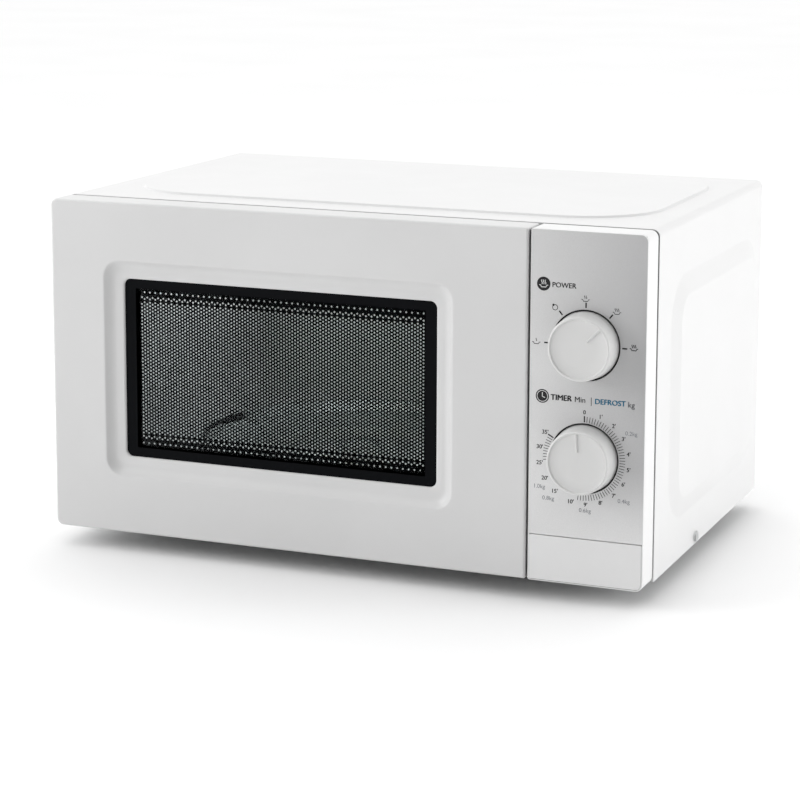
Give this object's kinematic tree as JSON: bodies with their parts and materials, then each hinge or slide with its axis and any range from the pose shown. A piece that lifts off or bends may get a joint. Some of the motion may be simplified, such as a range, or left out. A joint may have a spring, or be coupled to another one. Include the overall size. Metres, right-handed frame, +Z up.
{
  "type": "microwave oven",
  "caption": "Countertop microwave oven with a left-hung door, sunk black window, perforated screen, two rotary dials, a release button and a glass turntable.",
  "frame": {"origin": "on the floor under the middle of the overall width and depth, knobs and cord gland included", "axes": "+X to the right seen from the front, front facing -Y, +Z up"},
  "size_m": [0.453, 0.322, 0.2575],
  "materials": {
    "case_paint": "smooth white powder paint",
    "zinc_steel": "zinc-plated sheet, faint spangle",
    "cavity_paint": "light grey baked enamel",
    "mica": "pressed mica sheet",
    "anode_copper": "copper barrel with dark ring magnets",
    "fin_aluminium": "mill finish",
    "core_steel": "varnished laminations",
    "winding": "varnished copper wire",
    "can_aluminium": "drawn can",
    "black_plastic": "fine grain",
    "board": "solder mask over brown board",
    "fuse_glass": "clear tube with metal caps",
    "phenolic": "moulded, ivory",
    "lamp_glass": "clear bulb",
    "grey_plastic": "moulded",
    "natural_plastic": "natural white",
    "tray_glass": "pressed clear glass",
    "front_plastic": "light grey, very fine texture",
    "window_glass": "black bordered gloss glass",
    "screen_steel": "perforated, black enamel",
    "choke_plastic": "dark grey, fine texture",
    "clear_film": "clear film",
    "hook_plastic": "glass-filled nylon",
    "spring_steel": "drawn wire",
    "white_plastic": "white, very fine texture",
    "overlay_silver": "satin silver-grey printed sheet",
    "knob_plastic": "satin off-white"
  },
  "bodies": {
    "chassis": {"outer_case": "case_paint", "base_plate": "zinc_steel", "back_plate": "zinc_steel", "front_frame": "cavity_paint", "cavity_shell": "cavity_paint", "waveguide": "zinc_steel", "waveguide_cover": "mica", "magnetron_yoke": "zinc_steel", "magnetron_anode": "anode_copper", "magnetron_fins": "fin_aluminium", "magnetron_filter": "zinc_steel", "transformer_core": "core_steel", "transformer_coils": "winding", "hv_capacitor": "can_aluminium", "capacitor_clamp": "zinc_steel", "hv_diode": "black_plastic", "noise_filter": "board", "fuse": "fuse_glass", "thermal_cutouts": "phenolic", "cavity_lamp": "lamp_glass", "lamp_holder": "phenolic", "air_duct": "grey_plastic", "fan_shroud": "grey_plastic", "fan_motor": "core_steel", "turntable_motor": "zinc_steel", "upper_hinge": "zinc_steel", "lower_hinge": "zinc_steel", "control_panel": "white_plastic", "panel_overlay": "overlay_silver", "button_spring": "spring_steel", "interlock_body": "natural_plastic", "interlock_switches": "black_plastic", "timer_plate": "zinc_steel", "timer_gearbox": "phenolic", "power_selector": "phenolic", "feet": "black_plastic", "case_screws": "zinc_steel", "cord_gland": "black_plastic"},
    "door": {"door_frame": "front_plastic", "window_glass": "window_glass", "door_screen": "screen_steel", "door_panel": "cavity_paint", "choke_cover": "choke_plastic", "inner_film": "clear_film", "latch_spring": "spring_steel"},
    "latch": {"latch_hooks": "hook_plastic"},
    "button": {"release_button": "front_plastic"},
    "lever": {"release_lever": "hook_plastic"},
    "turntable": {"turntable_coupler": "natural_plastic", "glass_tray": "tray_glass", "drive_shaft": "zinc_steel"},
    "roller_carrier": {"roller_ring": "natural_plastic"},
    "wheel_1": {"roller_1": "natural_plastic"},
    "wheel_2": {"roller_2": "natural_plastic"},
    "wheel_3": {"roller_3": "natural_plastic"},
    "power_control": {"power_knob": "knob_plastic", "power_shaft": "zinc_steel"},
    "timer_control": {"timer_knob": "knob_plastic", "timer_shaft": "zinc_steel"},
    "fan": {"fan_rotor": "fin_aluminium"}
  },
  "joints": [
    {"name": "door_hinge", "type": "hinge", "parent": "chassis", "child": "door", "pos_m": [-0.2166, -0.132, 0.1355], "axis": [0, 0, -1], "range_deg": [0, 105]},
    {"name": "latch_lift", "type": "slide", "parent": "door", "child": "latch", "axis": [0, 0, 1], "range_m": [0, 0.0028], "stiffness_N_per_m": 300, "springref_m": -0.004, "deforming": ["latch_spring"]},
    {"name": "button_press", "type": "slide", "parent": "chassis", "child": "button", "axis": [0, 1, 0], "range_m": [0, 0.004], "stiffness_N_per_m": 500, "springref_m": -0.004, "deforming": ["button_spring"]},
    {"name": "lever_rock", "type": "hinge", "parent": "chassis", "child": "lever", "pos_m": [0.1335, -0.114, 0.058], "axis": [1, 0, 0], "range_deg": [0, 13]},
    {"name": "turntable_spin", "type": "hinge", "parent": "chassis", "child": "turntable", "pos_m": [-0.05, 0.0142, 0.052], "axis": [0, 0, 1], "continuous": true},
    {"name": "carrier_spin", "type": "hinge", "parent": "chassis", "child": "roller_carrier", "pos_m": [-0.05, 0.0142, 0.044], "axis": [0, 0, 1], "continuous": true},
    {"name": "wheel_1_roll", "type": "hinge", "parent": "roller_carrier", "child": "wheel_1", "pos_m": [-0.05, 0.0972, 0.044], "axis": [0, 1, 0], "continuous": true},
    {"name": "wheel_2_roll", "type": "hinge", "parent": "roller_carrier", "child": "wheel_2", "pos_m": [-0.12188, -0.0273, 0.044], "axis": [-0.866, -0.5, 0], "continuous": true},
    {"name": "wheel_3_roll", "type": "hinge", "parent": "roller_carrier", "child": "wheel_3", "pos_m": [0.02188, -0.0273, 0.044], "axis": [0.866, -0.5, 0], "continuous": true},
    {"name": "power_turn", "type": "hinge", "parent": "chassis", "child": "power_control", "pos_m": [0.1809, -0.146, 0.1795], "axis": [0, 1, 0], "range_deg": [-135, 45]},
    {"name": "timer_turn", "type": "hinge", "parent": "chassis", "child": "timer_control", "pos_m": [0.1809, -0.146, 0.1026], "axis": [0, 1, 0], "range_deg": [0, 305]},
    {"name": "fan_spin", "type": "hinge", "parent": "chassis", "child": "fan", "pos_m": [0.1648, 0.122, 0.178], "axis": [0, 1, 0], "continuous": true}
  ],
  "couplings": [
    {"joint": "lever_rock", "follows": "button_press", "rad_per_m": 55.556},
    {"joint": "latch_lift", "follows": "button_press", "ratio": 0.65},
    {"joint": "carrier_spin", "follows": "turntable_spin", "ratio": 0.5},
    {"joint": "wheel_1_roll", "follows": "turntable_spin", "ratio": -5.3896},
    {"joint": "wheel_2_roll", "follows": "turntable_spin", "ratio": -5.3896},
    {"joint": "wheel_3_roll", "follows": "turntable_spin", "ratio": -5.3896}
  ]
}
